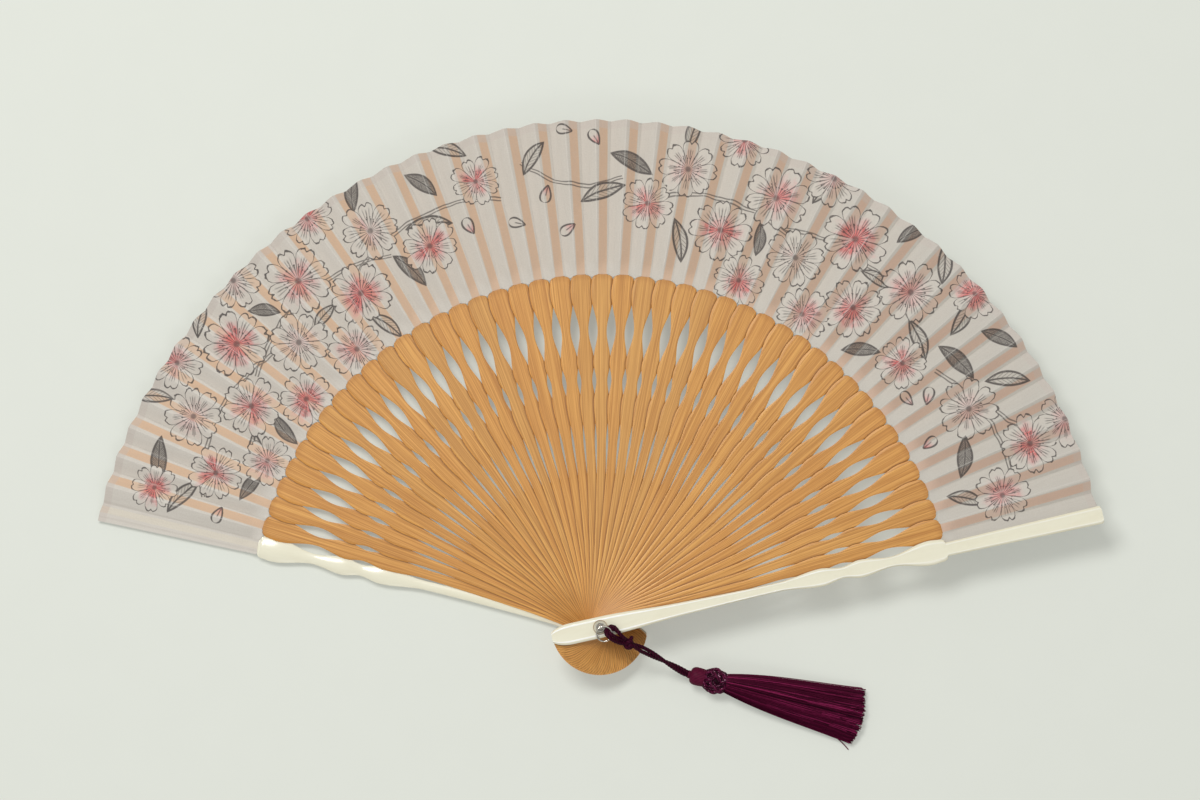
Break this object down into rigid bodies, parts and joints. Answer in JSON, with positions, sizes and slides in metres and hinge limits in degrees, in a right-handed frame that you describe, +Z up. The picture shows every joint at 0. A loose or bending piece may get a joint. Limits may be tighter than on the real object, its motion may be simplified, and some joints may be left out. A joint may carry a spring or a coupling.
{
  "type": "folding fan",
  "caption": "Folding hand fan, lying open: waisted bamboo sticks fan out from a rivet between two lacquered guards and carry a pleated silk leaf, with a tassel on a ring.",
  "frame": {"origin": "centre of the rivet's foot, on the table", "axes": "+Z up along the rivet, +X towards the front guard's side, +Y through the middle of the leaf"},
  "size_m": [0.3771, 0.2336, 0.0256],
  "materials": {
    "bamboo": "smooth, unvarnished",
    "cream_lacquer": "gloss lacquer",
    "silk": "thin woven silk",
    "rivet_metal": "plated",
    "ring_metal": "polished",
    "clear_plastic": "clear",
    "cord_thread": "twisted cord",
    "tassel_silk": "lustrous thread"
  },
  "bodies": {
    "front_guard": {"front_guard": "cream_lacquer", "rivet": "rivet_metal", "front_washer": "clear_plastic", "back_washer": "clear_plastic", "leaf": "silk"},
    "stick_43": {"stick_43": "bamboo"},
    "stick_42": {"stick_42": "bamboo"},
    "stick_41": {"stick_41": "bamboo"},
    "stick_40": {"stick_40": "bamboo"},
    "stick_39": {"stick_39": "bamboo"},
    "stick_38": {"stick_38": "bamboo"},
    "stick_37": {"stick_37": "bamboo"},
    "stick_36": {"stick_36": "bamboo"},
    "stick_35": {"stick_35": "bamboo"},
    "stick_34": {"stick_34": "bamboo"},
    "stick_33": {"stick_33": "bamboo"},
    "stick_32": {"stick_32": "bamboo"},
    "stick_31": {"stick_31": "bamboo"},
    "stick_30": {"stick_30": "bamboo"},
    "stick_29": {"stick_29": "bamboo"},
    "stick_28": {"stick_28": "bamboo"},
    "stick_27": {"stick_27": "bamboo"},
    "stick_26": {"stick_26": "bamboo"},
    "stick_25": {"stick_25": "bamboo"},
    "stick_24": {"stick_24": "bamboo"},
    "stick_23": {"stick_23": "bamboo"},
    "stick_22": {"stick_22": "bamboo"},
    "stick_21": {"stick_21": "bamboo"},
    "stick_20": {"stick_20": "bamboo"},
    "stick_19": {"stick_19": "bamboo"},
    "stick_18": {"stick_18": "bamboo"},
    "stick_17": {"stick_17": "bamboo"},
    "stick_16": {"stick_16": "bamboo"},
    "stick_15": {"stick_15": "bamboo"},
    "stick_14": {"stick_14": "bamboo"},
    "stick_13": {"stick_13": "bamboo"},
    "stick_12": {"stick_12": "bamboo"},
    "stick_11": {"stick_11": "bamboo"},
    "stick_10": {"stick_10": "bamboo"},
    "stick_09": {"stick_09": "bamboo"},
    "stick_08": {"stick_08": "bamboo"},
    "stick_07": {"stick_07": "bamboo"},
    "stick_06": {"stick_06": "bamboo"},
    "stick_05": {"stick_05": "bamboo"},
    "stick_04": {"stick_04": "bamboo"},
    "stick_03": {"stick_03": "bamboo"},
    "stick_02": {"stick_02": "bamboo"},
    "stick_01": {"stick_01": "bamboo"},
    "back_guard": {"back_guard": "cream_lacquer"},
    "tassel": {"swivel_eye": "ring_metal", "jump_ring": "ring_metal", "cord_loop": "cord_thread", "cord_knot": "cord_thread", "tassel_cord": "cord_thread", "tassel_cap": "tassel_silk", "tassel_ball": "tassel_silk", "tassel_skirt": "tassel_silk"}
  },
  "joints": [
    {"name": "stick_43_fold", "type": "hinge", "parent": "front_guard", "child": "stick_43", "pos_m": [0, 0, 0], "axis": [0, 0, -1], "range_deg": [0, 3.5], "deforming": ["leaf"]},
    {"name": "stick_42_fold", "type": "hinge", "parent": "stick_43", "child": "stick_42", "pos_m": [0, 0, 0], "axis": [0, 0, -1], "range_deg": [0, 3.5]},
    {"name": "stick_41_fold", "type": "hinge", "parent": "stick_42", "child": "stick_41", "pos_m": [0, 0, 0], "axis": [0, 0, -1], "range_deg": [0, 3.5]},
    {"name": "stick_40_fold", "type": "hinge", "parent": "stick_41", "child": "stick_40", "pos_m": [0, 0, 0], "axis": [0, 0, -1], "range_deg": [0, 3.5]},
    {"name": "stick_39_fold", "type": "hinge", "parent": "stick_40", "child": "stick_39", "pos_m": [0, 0, 0], "axis": [0, 0, -1], "range_deg": [0, 3.5]},
    {"name": "stick_38_fold", "type": "hinge", "parent": "stick_39", "child": "stick_38", "pos_m": [0, 0, 0], "axis": [0, 0, -1], "range_deg": [0, 3.5]},
    {"name": "stick_37_fold", "type": "hinge", "parent": "stick_38", "child": "stick_37", "pos_m": [0, 0, 0], "axis": [0, 0, -1], "range_deg": [0, 3.5]},
    {"name": "stick_36_fold", "type": "hinge", "parent": "stick_37", "child": "stick_36", "pos_m": [0, 0, 0], "axis": [0, 0, -1], "range_deg": [0, 3.5]},
    {"name": "stick_35_fold", "type": "hinge", "parent": "stick_36", "child": "stick_35", "pos_m": [0, 0, 0], "axis": [0, 0, -1], "range_deg": [0, 3.5]},
    {"name": "stick_34_fold", "type": "hinge", "parent": "stick_35", "child": "stick_34", "pos_m": [0, 0, 0], "axis": [0, 0, -1], "range_deg": [0, 3.5]},
    {"name": "stick_33_fold", "type": "hinge", "parent": "stick_34", "child": "stick_33", "pos_m": [0, 0, 0], "axis": [0, 0, -1], "range_deg": [0, 3.5]},
    {"name": "stick_32_fold", "type": "hinge", "parent": "stick_33", "child": "stick_32", "pos_m": [0, 0, 0], "axis": [0, 0, -1], "range_deg": [0, 3.5]},
    {"name": "stick_31_fold", "type": "hinge", "parent": "stick_32", "child": "stick_31", "pos_m": [0, 0, 0], "axis": [0, 0, -1], "range_deg": [0, 3.5]},
    {"name": "stick_30_fold", "type": "hinge", "parent": "stick_31", "child": "stick_30", "pos_m": [0, 0, 0], "axis": [0, 0, -1], "range_deg": [0, 3.5]},
    {"name": "stick_29_fold", "type": "hinge", "parent": "stick_30", "child": "stick_29", "pos_m": [0, 0, 0], "axis": [0, 0, -1], "range_deg": [0, 3.5]},
    {"name": "stick_28_fold", "type": "hinge", "parent": "stick_29", "child": "stick_28", "pos_m": [0, 0, 0], "axis": [0, 0, -1], "range_deg": [0, 3.5]},
    {"name": "stick_27_fold", "type": "hinge", "parent": "stick_28", "child": "stick_27", "pos_m": [0, 0, 0], "axis": [0, 0, -1], "range_deg": [0, 3.5]},
    {"name": "stick_26_fold", "type": "hinge", "parent": "stick_27", "child": "stick_26", "pos_m": [0, 0, 0], "axis": [0, 0, -1], "range_deg": [0, 3.5]},
    {"name": "stick_25_fold", "type": "hinge", "parent": "stick_26", "child": "stick_25", "pos_m": [0, 0, 0], "axis": [0, 0, -1], "range_deg": [0, 3.5]},
    {"name": "stick_24_fold", "type": "hinge", "parent": "stick_25", "child": "stick_24", "pos_m": [0, 0, 0], "axis": [0, 0, -1], "range_deg": [0, 3.5]},
    {"name": "stick_23_fold", "type": "hinge", "parent": "stick_24", "child": "stick_23", "pos_m": [0, 0, 0], "axis": [0, 0, -1], "range_deg": [0, 3.5]},
    {"name": "stick_22_fold", "type": "hinge", "parent": "stick_23", "child": "stick_22", "pos_m": [0, 0, 0], "axis": [0, 0, -1], "range_deg": [0, 3.5]},
    {"name": "stick_21_fold", "type": "hinge", "parent": "stick_22", "child": "stick_21", "pos_m": [0, 0, 0], "axis": [0, 0, -1], "range_deg": [0, 3.5]},
    {"name": "stick_20_fold", "type": "hinge", "parent": "stick_21", "child": "stick_20", "pos_m": [0, 0, 0], "axis": [0, 0, -1], "range_deg": [0, 3.5]},
    {"name": "stick_19_fold", "type": "hinge", "parent": "stick_20", "child": "stick_19", "pos_m": [0, 0, 0], "axis": [0, 0, -1], "range_deg": [0, 3.5]},
    {"name": "stick_18_fold", "type": "hinge", "parent": "stick_19", "child": "stick_18", "pos_m": [0, 0, 0], "axis": [0, 0, -1], "range_deg": [0, 3.5]},
    {"name": "stick_17_fold", "type": "hinge", "parent": "stick_18", "child": "stick_17", "pos_m": [0, 0, 0], "axis": [0, 0, -1], "range_deg": [0, 3.5]},
    {"name": "stick_16_fold", "type": "hinge", "parent": "stick_17", "child": "stick_16", "pos_m": [0, 0, 0], "axis": [0, 0, -1], "range_deg": [0, 3.5]},
    {"name": "stick_15_fold", "type": "hinge", "parent": "stick_16", "child": "stick_15", "pos_m": [0, 0, 0], "axis": [0, 0, -1], "range_deg": [0, 3.5]},
    {"name": "stick_14_fold", "type": "hinge", "parent": "stick_15", "child": "stick_14", "pos_m": [0, 0, 0], "axis": [0, 0, -1], "range_deg": [0, 3.5]},
    {"name": "stick_13_fold", "type": "hinge", "parent": "stick_14", "child": "stick_13", "pos_m": [0, 0, 0], "axis": [0, 0, -1], "range_deg": [0, 3.5]},
    {"name": "stick_12_fold", "type": "hinge", "parent": "stick_13", "child": "stick_12", "pos_m": [0, 0, 0], "axis": [0, 0, -1], "range_deg": [0, 3.5]},
    {"name": "stick_11_fold", "type": "hinge", "parent": "stick_12", "child": "stick_11", "pos_m": [0, 0, 0], "axis": [0, 0, -1], "range_deg": [0, 3.5]},
    {"name": "stick_10_fold", "type": "hinge", "parent": "stick_11", "child": "stick_10", "pos_m": [0, 0, 0], "axis": [0, 0, -1], "range_deg": [0, 3.5]},
    {"name": "stick_09_fold", "type": "hinge", "parent": "stick_10", "child": "stick_09", "pos_m": [0, 0, 0], "axis": [0, 0, -1], "range_deg": [0, 3.5]},
    {"name": "stick_08_fold", "type": "hinge", "parent": "stick_09", "child": "stick_08", "pos_m": [0, 0, 0], "axis": [0, 0, -1], "range_deg": [0, 3.5]},
    {"name": "stick_07_fold", "type": "hinge", "parent": "stick_08", "child": "stick_07", "pos_m": [0, 0, 0], "axis": [0, 0, -1], "range_deg": [0, 3.5]},
    {"name": "stick_06_fold", "type": "hinge", "parent": "stick_07", "child": "stick_06", "pos_m": [0, 0, 0], "axis": [0, 0, -1], "range_deg": [0, 3.5]},
    {"name": "stick_05_fold", "type": "hinge", "parent": "stick_06", "child": "stick_05", "pos_m": [0, 0, 0], "axis": [0, 0, -1], "range_deg": [0, 3.5]},
    {"name": "stick_04_fold", "type": "hinge", "parent": "stick_05", "child": "stick_04", "pos_m": [0, 0, 0], "axis": [0, 0, -1], "range_deg": [0, 3.5]},
    {"name": "stick_03_fold", "type": "hinge", "parent": "stick_04", "child": "stick_03", "pos_m": [0, 0, 0], "axis": [0, 0, -1], "range_deg": [0, 3.5]},
    {"name": "stick_02_fold", "type": "hinge", "parent": "stick_03", "child": "stick_02", "pos_m": [0, 0, 0], "axis": [0, 0, -1], "range_deg": [0, 3.5]},
    {"name": "stick_01_fold", "type": "hinge", "parent": "stick_02", "child": "stick_01", "pos_m": [0, 0, 0], "axis": [0, 0, -1], "range_deg": [0, 3.5]},
    {"name": "back_guard_fold", "type": "hinge", "parent": "stick_01", "child": "back_guard", "pos_m": [0, 0, 0], "axis": [0, 0, -1], "range_deg": [0, 3.5]},
    {"name": "tassel_swing", "type": "hinge", "parent": "front_guard", "child": "tassel", "pos_m": [0, 0, 0], "axis": [0, 0, 1], "range_deg": [-60, 5]}
  ],
  "couplings": [
    {"joint": "stick_42_fold", "follows": "stick_43_fold", "ratio": 1},
    {"joint": "stick_41_fold", "follows": "stick_43_fold", "ratio": 1},
    {"joint": "stick_40_fold", "follows": "stick_43_fold", "ratio": 1},
    {"joint": "stick_39_fold", "follows": "stick_43_fold", "ratio": 1},
    {"joint": "stick_38_fold", "follows": "stick_43_fold", "ratio": 1},
    {"joint": "stick_37_fold", "follows": "stick_43_fold", "ratio": 1},
    {"joint": "stick_36_fold", "follows": "stick_43_fold", "ratio": 1},
    {"joint": "stick_35_fold", "follows": "stick_43_fold", "ratio": 1},
    {"joint": "stick_34_fold", "follows": "stick_43_fold", "ratio": 1},
    {"joint": "stick_33_fold", "follows": "stick_43_fold", "ratio": 1},
    {"joint": "stick_32_fold", "follows": "stick_43_fold", "ratio": 1},
    {"joint": "stick_31_fold", "follows": "stick_43_fold", "ratio": 1},
    {"joint": "stick_30_fold", "follows": "stick_43_fold", "ratio": 1},
    {"joint": "stick_29_fold", "follows": "stick_43_fold", "ratio": 1},
    {"joint": "stick_28_fold", "follows": "stick_43_fold", "ratio": 1},
    {"joint": "stick_27_fold", "follows": "stick_43_fold", "ratio": 1},
    {"joint": "stick_26_fold", "follows": "stick_43_fold", "ratio": 1},
    {"joint": "stick_25_fold", "follows": "stick_43_fold", "ratio": 1},
    {"joint": "stick_24_fold", "follows": "stick_43_fold", "ratio": 1},
    {"joint": "stick_23_fold", "follows": "stick_43_fold", "ratio": 1},
    {"joint": "stick_22_fold", "follows": "stick_43_fold", "ratio": 1},
    {"joint": "stick_21_fold", "follows": "stick_43_fold", "ratio": 1},
    {"joint": "stick_20_fold", "follows": "stick_43_fold", "ratio": 1},
    {"joint": "stick_19_fold", "follows": "stick_43_fold", "ratio": 1},
    {"joint": "stick_18_fold", "follows": "stick_43_fold", "ratio": 1},
    {"joint": "stick_17_fold", "follows": "stick_43_fold", "ratio": 1},
    {"joint": "stick_16_fold", "follows": "stick_43_fold", "ratio": 1},
    {"joint": "stick_15_fold", "follows": "stick_43_fold", "ratio": 1},
    {"joint": "stick_14_fold", "follows": "stick_43_fold", "ratio": 1},
    {"joint": "stick_13_fold", "follows": "stick_43_fold", "ratio": 1},
    {"joint": "stick_12_fold", "follows": "stick_43_fold", "ratio": 1},
    {"joint": "stick_11_fold", "follows": "stick_43_fold", "ratio": 1},
    {"joint": "stick_10_fold", "follows": "stick_43_fold", "ratio": 1},
    {"joint": "stick_09_fold", "follows": "stick_43_fold", "ratio": 1},
    {"joint": "stick_08_fold", "follows": "stick_43_fold", "ratio": 1},
    {"joint": "stick_07_fold", "follows": "stick_43_fold", "ratio": 1},
    {"joint": "stick_06_fold", "follows": "stick_43_fold", "ratio": 1},
    {"joint": "stick_05_fold", "follows": "stick_43_fold", "ratio": 1},
    {"joint": "stick_04_fold", "follows": "stick_43_fold", "ratio": 1},
    {"joint": "stick_03_fold", "follows": "stick_43_fold", "ratio": 1},
    {"joint": "stick_02_fold", "follows": "stick_43_fold", "ratio": 1},
    {"joint": "stick_01_fold", "follows": "stick_43_fold", "ratio": 1},
    {"joint": "back_guard_fold", "follows": "stick_43_fold", "ratio": 1}
  ]
}
